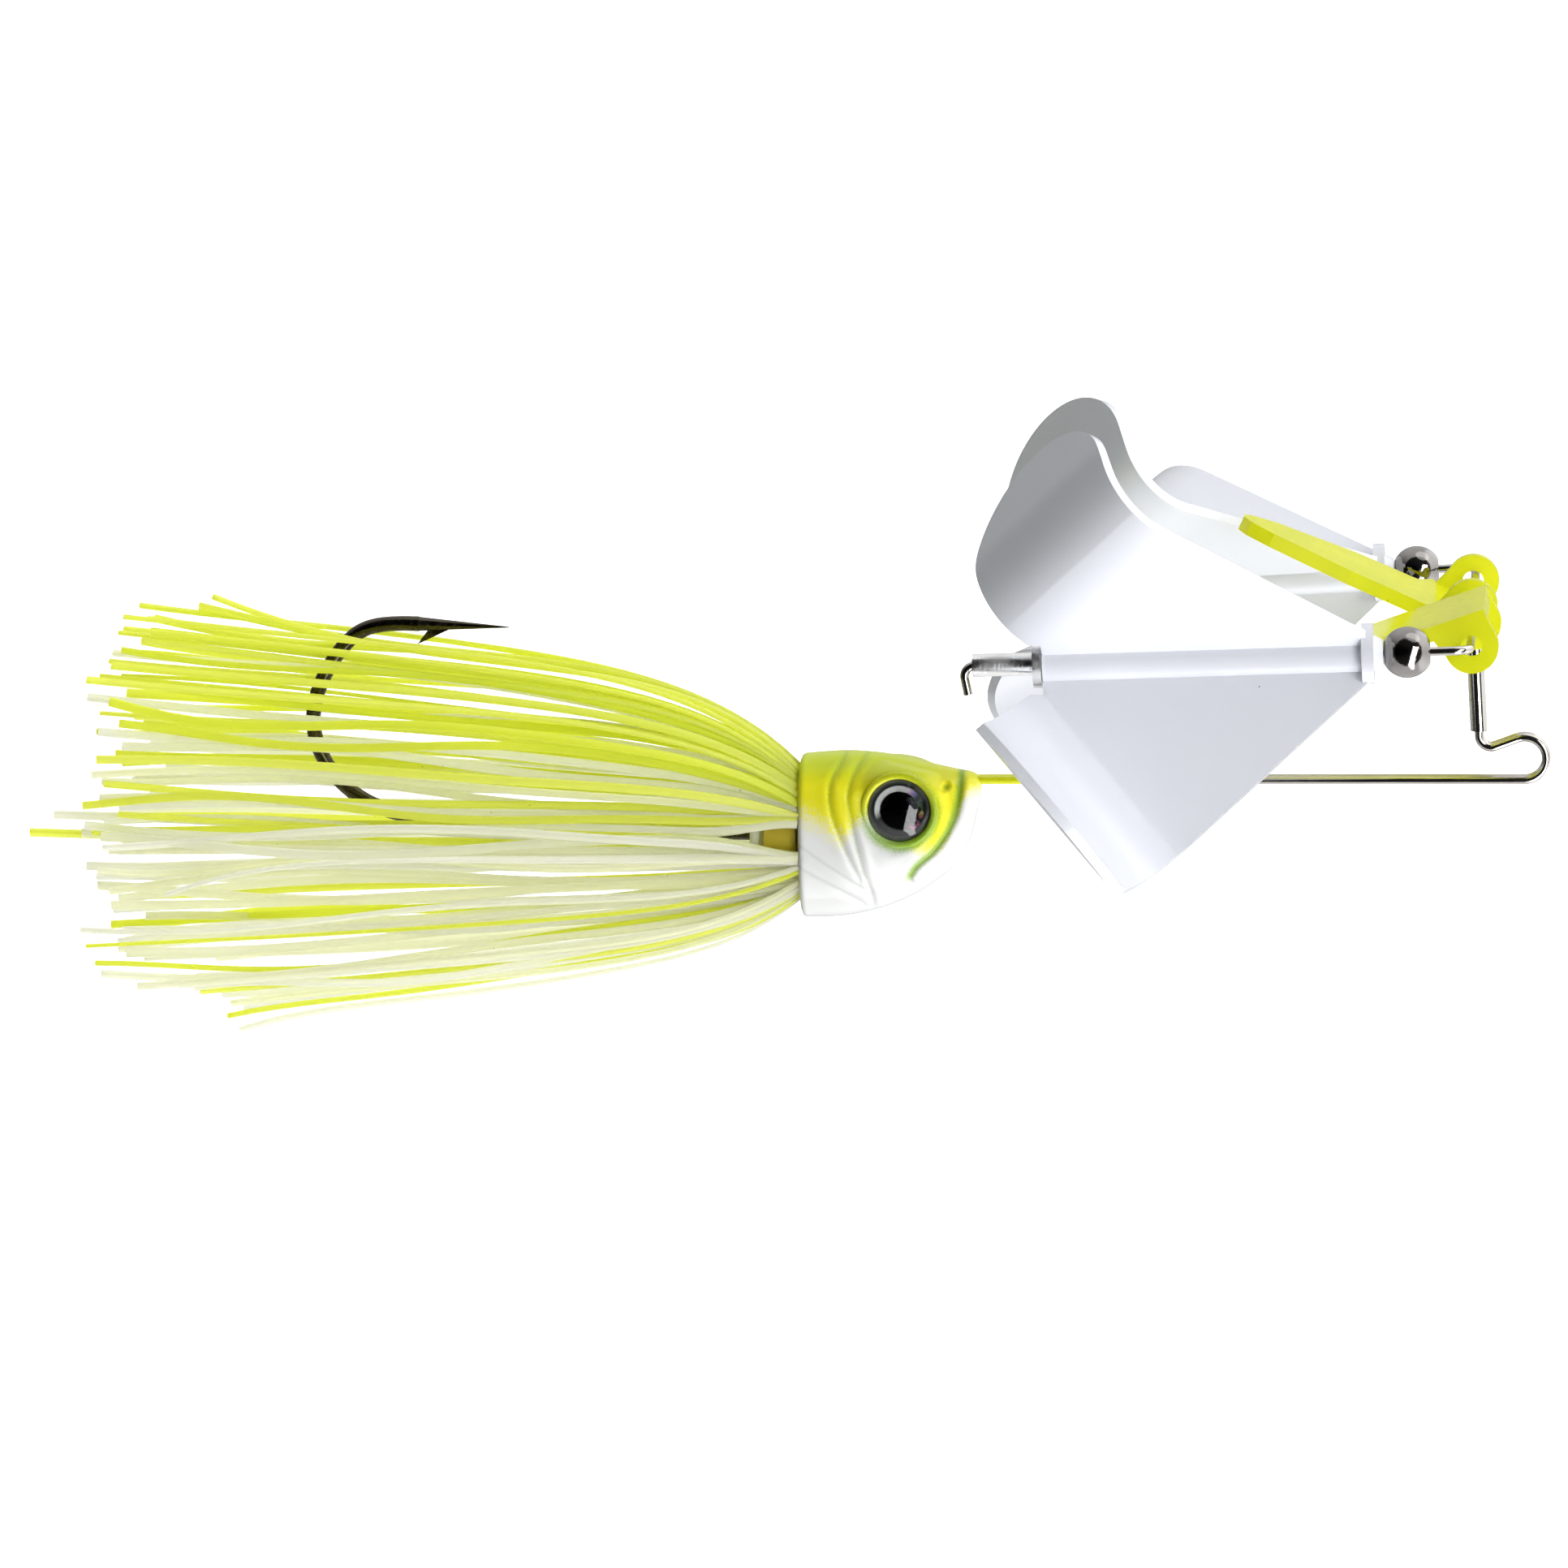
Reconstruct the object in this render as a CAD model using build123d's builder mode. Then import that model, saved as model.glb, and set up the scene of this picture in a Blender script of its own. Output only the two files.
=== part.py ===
"""Twin-blade buzzbait, in millimetres.

+X is the direction of tow, +Z is up (hook point up), +Y is the far side.
The origin is the centre of the line-tie bend.
"""
from build123d import *
import math
import os

os.makedirs("parts", exist_ok=True)

# wire
WIRE_R = 0.445
PAIR_Y = 0.45
MAIN_Z = -2.2
TIE_R = 2.2
RISER_FOOT = (-4.53, 0.69)
CROSS_X = -5.2
NEAR_CROSS_Z = 15.1
FAR_CROSS_Z = 15.9
ARM_Y = 26.0
ARM_END = 56.2
TAIL_DROP = 2.9
NEAR_PITCH = 1.7
FAR_PITCH = 3.0

# sleeve over the two wires
SLEEVE_Z = (2.9, 12.6)
SLEEVE_WALL = 0.42

# parts on an arm, by their distance behind the cross wire
BEAD_AT = 6.2
BEAD_R = 2.55
BEAD_FLAT = 2.28
BLADE_AT = 8.55
RIVET_AT = 42.35
RUN_R = 0.52

# buzz blade, measured back from its front end
BARREL_R = 1.95
BARREL_LEN = 33.7
COLLAR_R = 3.0
WING_T = 1.0
HEEL_NOTCH_R = 3.3
TIP = (20.1, 19.2)
HEEL = (33.7, 2.2)
CUP_R = 7.8
ARCH_BASE = 5.0
ARCH_TOP = 13.9
NEAR_PHASE = 42
FAR_PHASE = 58.5

# clacker, measured from the centre of its ears
EAR_R = 2.7
EAR_T = 1.5
EAR_HOLE_R = 1.1
EAR_SPAN = 19.1
CLACKER_T = 1.45
PLATE_DROP = 2.45
NEAR_CLACKER = {"inner": 2.9, "swing": -19, "drop": 0.45, "tilt": -1.0}
FAR_CLACKER = {"inner": 1.5, "swing": 24.5, "drop": 0.55, "tilt": 0.0}

# head, hook and skirt
SHANK_Z = -7.85
HOOK_R = 0.78
POINT_LEN = 9.7
HEAD_SECTIONS = [
    # x, top z, bottom z, half width
    (-55.5, -1.9, -3.6, 0.8),
    (-56.3, -1.5, -7.2, 2.5),
    (-57.9, -1.15, -10.5, 3.6),
    (-60.4, -0.6, -12.8, 4.4),
    (-64.2, 0.3, -14.9, 5.1),
    (-69.0, 0.75, -16.2, 5.6),
    (-74.0, 0.45, -16.45, 5.7),
]
HEAD_BACK = -74.0
GROOVE_W = 0.55
GROOVE_D = 0.35
EYE = (-63.6, -4.6)
EYE_R = 3.2
EYE_FACE = 5.1
KEEPER_R = 2.7
KEEPER_END = -79.2
BAND_R = 3.9
BAND_X = (-77.6, -74.4)


def unit(a, b):
    return (Vector(*b) - Vector(*a)).normalized()


def rounded_path(points, radii):
    """Draw straight runs joined by arcs in the active line builder."""
    here = Vector(*points[0])
    for before, corner, after, radius in zip(points, points[1:], points[2:], radii):
        run_in = unit(before, corner)
        run_out = unit(corner, after)
        turn = math.radians(run_in.get_angle(run_out))
        reach = radius * math.tan(turn / 2)
        start = Vector(*corner) - run_in * reach
        stop = Vector(*corner) + run_out * reach
        middle = Vector(*corner) + (run_out - run_in).normalized() * radius * (1 / math.cos(turn / 2) - 1)
        Line(here, start)
        ThreePointArc(start, middle, stop)
        here = stop
    Line(here, points[-1])


def cross_z(side):
    return FAR_CROSS_Z if side > 0 else NEAR_CROSS_Z


def arm_plane(side, pitch, back=0.0):
    """Plane whose X runs forward along an arm, 'back' mm behind the cross wire."""
    slope = math.radians(pitch)
    forward = Vector(math.cos(slope), 0, math.sin(slope))
    origin = Vector(CROSS_X, side * ARM_Y, cross_z(side)) - forward * back
    return Plane(origin=origin, x_dir=forward, z_dir=Vector(-math.sin(slope), 0, math.cos(slope)))


def arm_point(side, pitch, back, drop=0.0):
    spot = arm_plane(side, pitch, back).from_local_coords(Vector(0, 0, -drop))
    return (spot.X, spot.Y, spot.Z)


def bent_wire(side, pitch):
    """One wire: head, line tie, up through the sleeve, across and back along its arm."""
    y = side * PAIR_Y
    rise = TIE_R * (1 + math.tan(math.radians(55)))
    points = [
        (-68, y, MAIN_Z),
        (TIE_R, y, MAIN_Z),
        (TIE_R, y, MAIN_Z + rise),
        (RISER_FOOT[0], y, RISER_FOOT[1]),
        (CROSS_X, y, cross_z(side)),
        (CROSS_X, side * ARM_Y, cross_z(side)),
        arm_point(side, pitch, ARM_END - 5.9),
        arm_point(side, pitch, ARM_END - 6.4, TAIL_DROP),
    ]
    with BuildPart() as wire:
        with BuildLine() as path:
            rounded_path(points, [TIE_R, TIE_R, 1.2, 1.4, 1.5, 1.1])
        with BuildSketch(Plane(origin=points[0], z_dir=(1, 0, 0))):
            Circle(WIRE_R)
        sweep(path=path.wire())
    return wire.part


def turned(profile):
    """Solid of revolution round X from (x, radius) points."""
    with BuildPart() as solid:
        with BuildSketch(Plane.XZ):
            with BuildLine():
                Polyline(*profile, close=True)
            make_face()
        revolve(axis=Axis.X)
    return solid.part


def bead(side, pitch):
    """Metal ball with flats where its bore comes out."""
    flat_r = math.sqrt(BEAD_R ** 2 - BEAD_FLAT ** 2)
    with BuildPart() as ball:
        with BuildSketch(Plane.XZ):
            with BuildLine():
                Line((BEAD_FLAT, flat_r), (BEAD_FLAT, RUN_R))
                Line((BEAD_FLAT, RUN_R), (-BEAD_FLAT, RUN_R))
                Line((-BEAD_FLAT, RUN_R), (-BEAD_FLAT, flat_r))
                ThreePointArc((-BEAD_FLAT, flat_r), (0, BEAD_R), (BEAD_FLAT, flat_r))
            make_face()
        revolve(axis=Axis.X)
    return arm_plane(side, pitch, BEAD_AT).location * ball.part


def rivet(side, pitch):
    """Flanged tube crimped on the wire behind the blade."""
    tube = turned([
        (0, WIRE_R),
        (0, 2.45),
        (-0.85, 2.45),
        (-0.85, 1.15),
        (-6.9, 1.15),
        (-6.9, WIRE_R),
    ])
    return arm_plane(side, pitch, RIVET_AT).location * tube


def blade(side, pitch, phase):
    """Three-wing blade with a barrel that spins on the arm wire."""
    frame = arm_plane(side, pitch, BLADE_AT)
    barrel = turned([
        (0, RUN_R),
        (0, 1.35),
        (-0.9, 1.85),
        (-0.9, COLLAR_R),
        (-2.1, COLLAR_R),
        (-2.1, BARREL_R),
        (-BARREL_LEN, BARREL_R),
        (-BARREL_LEN, RUN_R),
    ])
    wing = blade_wing()
    with BuildPart() as whole:
        add(barrel)
        for step in range(3):
            add(Rot(X=120 * step) * wing)
        Cylinder(RUN_R, 90, rotation=(0, 90, 0), mode=Mode.SUBTRACT)
        with Locations((-BARREL_LEN - 10, 0, 0)):
            Cylinder(HEEL_NOTCH_R, 20, rotation=(0, 90, 0), mode=Mode.SUBTRACT)
    return frame.location * Rot(X=phase) * whole.part


def blade_wing():
    """Flat plate standing up from the barrel, bent a quarter turn into an arched flap."""
    fold = Vector(HEEL[0] - TIP[0], 0, TIP[1] - HEEL[1])
    along = Vector(-fold.X, 0, -fold.Z).normalized()
    outward = Vector(along.Z, 0, -along.X)
    cup_plane = Plane(origin=(-TIP[0], 0, TIP[1]), x_dir=outward, z_dir=along)
    half = WING_T / 2
    with BuildPart() as cup:
        with BuildSketch(cup_plane):
            with BuildLine():
                inner = CenterArc((0, CUP_R), CUP_R - half, -90, 90)
                outer = CenterArc((0, CUP_R), CUP_R + half, -90, 90)
                Line(inner @ 0, outer @ 0)
                Polyline(inner @ 1, (CUP_R - half, ARCH_TOP + 1), (CUP_R + half, ARCH_TOP + 1), outer @ 1)
            make_face()
        extrude(amount=fold.length)
        with BuildSketch(Plane(origin=cup_plane.origin, x_dir=along, z_dir=-outward)):
            with BuildLine():
                EllipticalCenterArc(
                    (fold.length / 2, ARCH_BASE),
                    fold.length / 2,
                    ARCH_TOP - ARCH_BASE,
                    arc_size=180,
                )
                Polyline((0, ARCH_BASE), (0, -1), (fold.length, -1), (fold.length, ARCH_BASE))
            make_face()
        extrude(amount=2 * CUP_R, both=True, mode=Mode.INTERSECT)
    with BuildPart() as wing:
        with BuildSketch(Plane.XZ):
            with BuildLine():
                Polyline(
                    (-BARREL_LEN + 0.6, 0.9),
                    (-1.2, 0.9),
                    (-1.2, COLLAR_R - 0.4),
                    (-TIP[0], TIP[1]),
                    (-HEEL[0], HEEL[1]),
                    close=True,
                )
            make_face()
        extrude(amount=half, both=True)
        add(cup.part)
    return wing.part


def clacker(side, inner, swing, drop, tilt):
    """Plastic flap hung from the cross wire by two ears; the near one hangs flap side up."""
    with BuildPart() as plate:
        with BuildSketch(Plane.XY.offset(-PLATE_DROP)):
            with BuildLine():
                Polyline(
                    (2.3, 0),
                    (-12.5, 0.2),
                    (-21.2, 1.8),
                    (-23.8, 3.0),
                    (-24.7, 4.4),
                    (-24.7, 6.2),
                    (-23.8, 7.8),
                    (-21.2, 10.2),
                    (-12.5, 14.0),
                    (-5.4, 14.6),
                    (-3.9, EAR_SPAN),
                    (2.3, EAR_SPAN),
                    close=True,
                )
            make_face()
        extrude(amount=CLACKER_T / 2, both=True)
        for y in (0, EAR_SPAN - EAR_T):
            with BuildSketch(Plane.XZ.offset(-y)):
                Circle(EAR_R)
                with BuildLine():
                    Polyline(
                        (2.3, -PLATE_DROP - CLACKER_T / 2),
                        (2.65, 0),
                        (-2.65, 0.3),
                        (-3.9, -PLATE_DROP - CLACKER_T / 2),
                        close=True,
                    )
                make_face()
            extrude(amount=-EAR_T)
        Cylinder(EAR_HOLE_R, 60, rotation=(90, 0, 0), mode=Mode.SUBTRACT)
    placed = Pos(0, inner, 0) * plate.part
    if side < 0:
        centre = inner + EAR_SPAN / 2
        leaning = Pos(0, centre, 0) * Rot(X=tilt) * Pos(0, -centre, 0) * placed
        placed = Rot(X=180) * leaning
    return Pos(CROSS_X, 0, cross_z(side)) * Rot(Y=swing) * Pos(0, 0, -drop) * placed


def head_loft(shrink=0.0):
    with BuildPart() as shape:
        for x, top, bottom, half_width in HEAD_SECTIONS:
            plane = Plane(origin=(x, 0, (top + bottom) / 2), x_dir=(0, 1, 0), z_dir=(1, 0, 0))
            with BuildSketch(plane):
                Ellipse(
                    max(half_width - shrink, 0.2),
                    max((top - bottom) / 2 - shrink, 0.3),
                )
        loft()
    return shape.part


# wires
wire_near = bent_wire(-1, NEAR_PITCH)
wire_far = bent_wire(1, FAR_PITCH)

# hook: shank, round bend, point and barb
with BuildPart() as hook:
    with BuildLine() as hook_line:
        shank = Line((-62, 0, SHANK_Z - 0.2), (-100, 0, SHANK_Z + 0.45))
        bend = Spline(
            shank @ 1,
            (-111.5, 0, -6.6),
            (-120.4, 0, -3.6),
            (-124.4, 0, 3.9),
            (-120.6, 0, 12.2),
            (-113.2, 0, 14.0),
            tangents=(shank % 1, (1, 0, -0.04)),
        )
    with BuildSketch(Plane(origin=shank @ 0, z_dir=(-1, 0, 0))):
        Circle(HOOK_R)
    sweep(path=hook_line.wire())
    limb = Plane(origin=bend @ 1, z_dir=(1, 0, -0.04))
    with Locations(limb.offset(POINT_LEN / 2 - 0.4).location):
        Cone(HOOK_R - 0.02, 0.05, POINT_LEN)
    with BuildSketch(Plane.XZ):
        with BuildLine():
            Polyline((-109.4, 13.75), (-113.4, 11.9), (-112.0, 13.75), close=True)
        make_face()
    extrude(amount=0.3, both=True)

# head casting with its skirt keeper, eye rims and cut lines
with BuildPart() as groove_tool:
    with BuildSketch(Plane.XZ):
        with BuildLine() as lines:
            Spline((-69.4, 0.8), (-71.0, -2.9), (-70.2, -8.0), (-67.6, -14.2))
            Spline((-66.9, 0.8), (-69.2, -3.0), (-68.4, -8.2), (-67.0, -11.2), (-66.6, -16.6))
            Spline((-57.6, -2.5), (-57.8, -4.2), (-59.3, -8.6), (-62.9, -12.6))
            Line((-73.9, -9.1), (-67.2, -13.9))
            Line((-73.9, -11.4), (-67.2, -16.0))
        trace(line_width=GROOVE_W)
    extrude(amount=12, both=True)
    add(head_loft(GROOVE_D), mode=Mode.SUBTRACT)

with BuildPart() as head:
    add(head_loft())
    add(groove_tool.part, mode=Mode.SUBTRACT)
    with Locations((EYE[0], 0, EYE[1])):
        Cylinder(EYE_R + 0.6, 2 * EYE_FACE, rotation=(90, 0, 0))
    with Locations(((KEEPER_END + HEAD_BACK) / 2, 0, SHANK_Z)):
        Cylinder(KEEPER_R, HEAD_BACK - KEEPER_END, rotation=(0, 90, 0))
    for side in (-1, 1):
        with Locations((EYE[0], side * EYE_FACE, EYE[1])):
            Cylinder(EYE_R, 1.2, rotation=(90, 0, 0), mode=Mode.SUBTRACT)
        with Locations((-58.9, side * 3.2, -2.7)):
            Sphere(0.5, mode=Mode.SUBTRACT)
    add(hook.part, mode=Mode.SUBTRACT)
    add(wire_near, mode=Mode.SUBTRACT)
    add(wire_far, mode=Mode.SUBTRACT)

# sleeve crimped round both wires, leaning with them
lean = Vector(CROSS_X - RISER_FOOT[0], 0, NEAR_CROSS_Z - RISER_FOOT[1])
sleeve_x = RISER_FOOT[0] + lean.X / lean.Z * (SLEEVE_Z[0] - RISER_FOOT[1])
with BuildPart() as sleeve:
    with BuildSketch(Plane.XY.offset(SLEEVE_Z[0])):
        with Locations((sleeve_x, 0)):
            SlotOverall(2 * (PAIR_Y + WIRE_R + SLEEVE_WALL), 2 * (WIRE_R + SLEEVE_WALL), rotation=90)
    extrude(amount=SLEEVE_Z[1] - SLEEVE_Z[0], dir=(lean.X / lean.Z, 0, 1))
    add(wire_near, mode=Mode.SUBTRACT)
    add(wire_far, mode=Mode.SUBTRACT)


def eye_layers(side):
    """Iris disc, pupil and clear dome, stacked outward in the head's socket."""
    seat = side * (EYE_FACE - 0.6)
    out = (0, side, 0)
    plane = Plane(origin=(EYE[0], seat, EYE[1]), x_dir=(1, 0, 0), z_dir=out)
    with BuildPart() as iris:
        with BuildSketch(plane):
            Circle(EYE_R - 0.03)
        extrude(amount=0.35)
    with BuildPart() as pupil:
        with BuildSketch(plane.offset(0.35)):
            Circle(1.95)
        extrude(amount=0.15)
    with BuildPart() as dome:
        rise = 1.15
        ball = ((EYE_R - 0.03) ** 2 + rise ** 2) / (2 * rise)
        with BuildSketch(plane.offset(0.35)):
            Circle(EYE_R - 0.03)
        extrude(amount=rise)
        with Locations(plane.offset(0.35 + rise - ball).location):
            Sphere(ball, mode=Mode.INTERSECT)
        add(pupil.part, mode=Mode.SUBTRACT)
    return iris.part, pupil.part, dome.part


# skirt band
with BuildPart() as band:
    with BuildSketch(Plane.YZ.offset(BAND_X[0])):
        with Locations((0, SHANK_Z)):
            Circle(BAND_R)
            Circle(KEEPER_R, mode=Mode.SUBTRACT)
    extrude(amount=BAND_X[1] - BAND_X[0])


def skirt_bundle(side, sections):
    """Soft bundle of strands as one closed solid; sections are x, y, z, half y, half z."""
    with BuildPart() as bundle:
        for x, y, z, half_y, half_z in sections:
            plane = Plane(origin=(x, side * y, z), x_dir=(0, 1, 0), z_dir=(-1, 0, 0))
            with BuildSketch(plane):
                Ellipse(half_y, half_z)
        loft()
    return bundle.part


UPPER = [
    (-74.4, 5.2, -4.0, 0.8, 3.0),
    (-80.0, 6.2, 0.0, 2.2, 5.2),
    (-92.0, 7.0, 3.0, 3.6, 6.6),
    (-110.0, 7.3, 4.6, 4.5, 8.2),
    (-130.0, 8.0, 5.0, 5.0, 9.5),
    (-151.0, 8.0, 4.2, 4.4, 7.0),
]
LOWER = [
    (-74.4, 5.2, -11.2, 0.8, 3.0),
    (-80.0, 6.2, -14.0, 2.2, 5.4),
    (-92.0, 6.6, -15.6, 3.6, 7.2),
    (-110.0, 6.8, -16.2, 4.5, 8.6),
    (-130.0, 7.4, -17.6, 5.0, 10.4),
    (-150.0, 7.4, -15.6, 4.4, 7.4),
]

parts = {
    "hook": hook.part,
    "head": head.part,
    "skirt_band": band.part,
    "wire_near": wire_near,
    "wire_far": wire_far,
    "sleeve": sleeve.part,
}
for name, side, pitch, phase, flap in (
    ("near", -1, NEAR_PITCH, NEAR_PHASE, NEAR_CLACKER),
    ("far", 1, FAR_PITCH, FAR_PHASE, FAR_CLACKER),
):
    parts["bead_" + name] = bead(side, pitch)
    parts["blade_" + name] = blade(side, pitch, phase)
    parts["rivet_" + name] = rivet(side, pitch)
    parts["clacker_" + name] = clacker(side, **flap)
    layers = eye_layers(side)
    for layer, solid in zip(("iris", "pupil", "lens"), layers):
        parts["eye_" + layer + "_" + name] = solid
    parts["skirt_upper_" + name] = skirt_bundle(side, UPPER)
    parts["skirt_lower_" + name] = skirt_bundle(side, LOWER)

for name, solid in parts.items():
    solid.label = name
    export_step(solid, "parts/" + name + ".step")
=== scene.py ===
"""Looks of the twin-blade buzzbait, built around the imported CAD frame.

Metres, +X is the direction of tow, +Z is up, -Y is the near side. Shapes are written
in millimetres and multiplied by MM where an object is made; materials use metres.
"""
import math

import bpy
import numpy as np
from mathutils import Matrix, Vector

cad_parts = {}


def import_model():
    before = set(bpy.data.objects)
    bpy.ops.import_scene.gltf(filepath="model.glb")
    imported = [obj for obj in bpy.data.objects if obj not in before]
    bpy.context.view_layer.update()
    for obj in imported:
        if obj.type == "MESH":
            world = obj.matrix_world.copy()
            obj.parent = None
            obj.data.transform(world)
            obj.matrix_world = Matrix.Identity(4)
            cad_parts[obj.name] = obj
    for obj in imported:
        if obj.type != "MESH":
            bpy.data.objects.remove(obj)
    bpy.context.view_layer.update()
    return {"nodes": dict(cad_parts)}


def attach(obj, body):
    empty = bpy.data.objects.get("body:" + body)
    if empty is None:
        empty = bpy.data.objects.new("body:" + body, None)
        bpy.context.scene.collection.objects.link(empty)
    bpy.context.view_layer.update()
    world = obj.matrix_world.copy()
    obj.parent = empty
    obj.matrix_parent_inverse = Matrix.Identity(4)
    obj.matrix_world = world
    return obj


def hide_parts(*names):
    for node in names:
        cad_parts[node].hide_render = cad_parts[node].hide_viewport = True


MM = 0.001
SIDES = {"near": -1, "far": 1}

# colours, linear
YELLOW = (0.93, 0.87, 0.020)
CHARTREUSE = (0.66, 0.78, 0.010)
LEAF_GREEN = (0.27, 0.46, 0.025)
PEARL = (0.79, 0.80, 0.78)
# grey of the painted shade on the belly ridge, the plate lines and the keeper
PAINTED_SHADE_GREY = (0.46, 0.48, 0.46)
# pale tone, deep tone and the light that comes through
SILICONE = {
    "chartreuse": ((0.95, 0.97, 0.30), (0.84, 0.91, 0.11), (0.96, 0.99, 0.24)),
    "white": ((0.98, 0.98, 0.95), (0.97, 0.98, 0.64), (0.99, 0.99, 0.93)),
}

# the paint on the wire fades out over this x, and over this z, in metres
WIRE_PAINT_X = (-0.0504, -0.0509)
WIRE_PAINT_Z = (0.004, 0.003)

# head, in millimetres
HEAD_SECTIONS = [
    # x, top z, bottom z, half width
    (-55.5, -1.9, -3.6, 0.8),
    (-56.3, -1.5, -7.2, 2.5),
    (-57.9, -1.15, -10.5, 3.6),
    (-60.4, -0.6, -12.8, 4.4),
    (-64.2, 0.3, -14.9, 5.1),
    (-69.0, 0.75, -16.2, 5.6),
    (-74.0, 0.45, -16.45, 5.7),
]
NOSE_X = HEAD_SECTIONS[0][0]
BACK_X = HEAD_SECTIONS[-1][0]
NOSE_TIP = 0.08
BACK_ROUND = 0.6
SECTION_POWER = 2.3
EYE = (-63.6, -4.6)
EYE_R = 3.2
EYE_FACE = 5.1
SOCKET_DEPTH = 0.85
KEEPER = (-73.9, -79.2, 2.7)
SHANK_Z = -7.85

# places on the side of the head, x and z
NOSTRIL = (-58.9, -2.5)
GILL_FRONT = [
    (-66.4, 1.3), (-67.9, -0.3), (-68.8, -2.6), (-68.5, -5.4),
    (-67.5, -10.4), (-66.6, -13.7), (-66.6, -15.6),
]
GILL_REAR = [
    (-68.3, 2.2), (-69.4, 0.4), (-70.7, -2.0),
    (-70.6, -4.4), (-69.4, -8.0), (-67.4, -12.6),
]
PLATE_UPPER = [(-74.2, -7.9), (-70.2, -10.8), (-66.6, -13.4)]
PLATE_LOWER = [(-74.2, -10.2), (-70.2, -12.7), (-67.0, -14.8)]
MOUTH = [
    (-57.4, -1.2), (-57.6, -3.4), (-58.4, -6.3), (-60.2, -9.0),
    (-62.3, -11.0), (-62.7, -11.9), (-62.0, -12.9),
]
# carved lines: course, depth, width, raised lip beside it
CARVED = [
    (GILL_FRONT, 0.11, 0.26, 0.09),
    (GILL_REAR, 0.11, 0.26, 0.09),
    (PLATE_UPPER, 0.08, 0.16, 0.06),
    (PLATE_LOWER, 0.08, 0.16, 0.06),
    (MOUTH, 0.13, 0.28, 0.16),
]
# green airbrush: course, strength, width, how much it fades on the way down
AIRBRUSHED = [
    (GILL_FRONT, 0.42, 0.34, 0.5),
    (GILL_REAR, 0.42, 0.34, 0.5),
    (MOUTH, 0.85, 0.50, 0.0),
]
# lower edge of the chartreuse, from back to nose
PAINT_EDGE = [
    (-79.5, -4.9),
    (-74.0, -4.9),
    (-71.0, -6.3),
    (-69.4, -7.4),
    (-68.0, -5.9),
    (-66.5, -5.2),
    (-64.0, -6.6),
    (-61.5, -9.0),
    (-60.0, -8.8),
    (-59.0, -7.8),
    (-57.9, -5.6),
    (-56.9, -3.3),
    (-55.3, -2.9),
]

# skirt, in millimetres
SKIRT_ROOT = (-74.1, -7.7)
ROOT_HALF = (5.2, 6.7)
TIP_CENTRE_Z = -5.8
TIP_HALF = (12.0, 23.0)
TIP_LOWEST_Z = -25.0
TIP_RISE = 40.8
TIP_LIMIT_X = -152.5
STRANDS = {"near": 52, "far": 40}
STRAND_W = 0.88
STRAND_T = 0.46
STRAND_CORNER = 0.11
STRAND_STEPS = 30
HOOK_CLEAR = 1.35
# the strands part at this height and show the band
BAND_Z = -7.6
BAND_GAP = 1.5
# the CAD bundle whose place each colour takes
BUNDLES = {"chartreuse": "skirt_upper_", "white": "skirt_lower_"}
# how far back the tips reach: z, x
SKIRT_REACH = [
    (-28.5, -132.5),
    (-26, -133.5),
    (-23, -137),
    (-21, -146),
    (-16, -147.0),
    (-5, -147.2),
    (4, -146.0),
    (10, -145.6),
    (15.7, -144.4),
    (17.6, -136),
]
# strands placed one by one: tip with y outward, how far the end turns up, colour
PLACED_STRANDS = {
    "near": [
        ((-134.2, 2.2, 17.2), 2.9, "chartreuse"),
        ((-153.4, 5.0, -6.9), 0.0, "chartreuse"),
        ((-150.6, 6.5, -4.8), 0.0, "white"),
        ((-138.4, 11.5, -12.2), -4.0, "white"),
        ((-132.4, 3.0, -28.0), -2.2, "white"),
        ((-133.4, 4.6, -26.2), -1.6, "chartreuse"),
        ((-136.0, 6.0, -23.4), 0.0, "chartreuse"),
        ((-138.0, 7.4, -22.4), 0.0, "white"),
        ((-146.0, 10.5, -5.9), 0.0, "chartreuse"),
        ((-145.0, 11.0, -6.3), 0.0, "white"),
    ],
    "far": [
        ((-136.5, 3.2, 15.4), 1.2, "chartreuse"),
        ((-142.8, 4.0, 15.4), 0.0, "chartreuse"),
        ((-133.0, 3.6, -27.0), -1.6, "white"),
    ],
}

# view: target in millimetres, distance in metres, angles in degrees
VIEW_TARGET = (-75.8, 0, -2.7)
VIEW_DISTANCE = 0.9
VIEW_ELEVATION = 9.6
VIEW_SWING = 5.26
VIEW_LENS = 201.2

# floor, in millimetres
FLOOR_REACH = 9000
FLOOR_Z = -130

# light: the side it is dimmest from, and lobes of direction, start, full, strength
DIM_SIDE = (-0.76, -0.62, 0.18)
LOBES = [
    ((0.2, 0.1, 0.97), 0.1, 0.8, 0.62),
    ((0.1, -0.25, -0.96), 0.1, 0.75, 0.82),
    ((0.95, 0.30, 0.05), 0.45, 0.65, 0.95),
]
# window: right and up parts of its lean, then middle and half size, long way first
WINDOW_GAIN = 7.7
WINDOW_LEAN = (0.256, 0.966)
WINDOW_LONG = (0.18, 0.68)
WINDOW_SHORT = (0.46, 0.16)
WINDOW_EDGE = 0.03
SUN_WAY = (-0.35, 0.05, -0.9)


# ---------------------------------------------------------------- mesh helpers

def mesh_object(name, points, faces, materials, smooth=True):
    """Mesh object from points in millimetres, in the part's own frame."""
    mesh = bpy.data.meshes.new(name)
    mesh.from_pydata([tuple(p) for p in np.asarray(points) * MM], [], faces)
    mesh.validate()
    for material in materials:
        mesh.materials.append(material)
    mesh.polygons.foreach_set("use_smooth", [smooth] * len(mesh.polygons))
    mesh.update()
    made = bpy.data.objects.new(name, mesh)
    bpy.context.scene.collection.objects.link(made)
    return made


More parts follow.
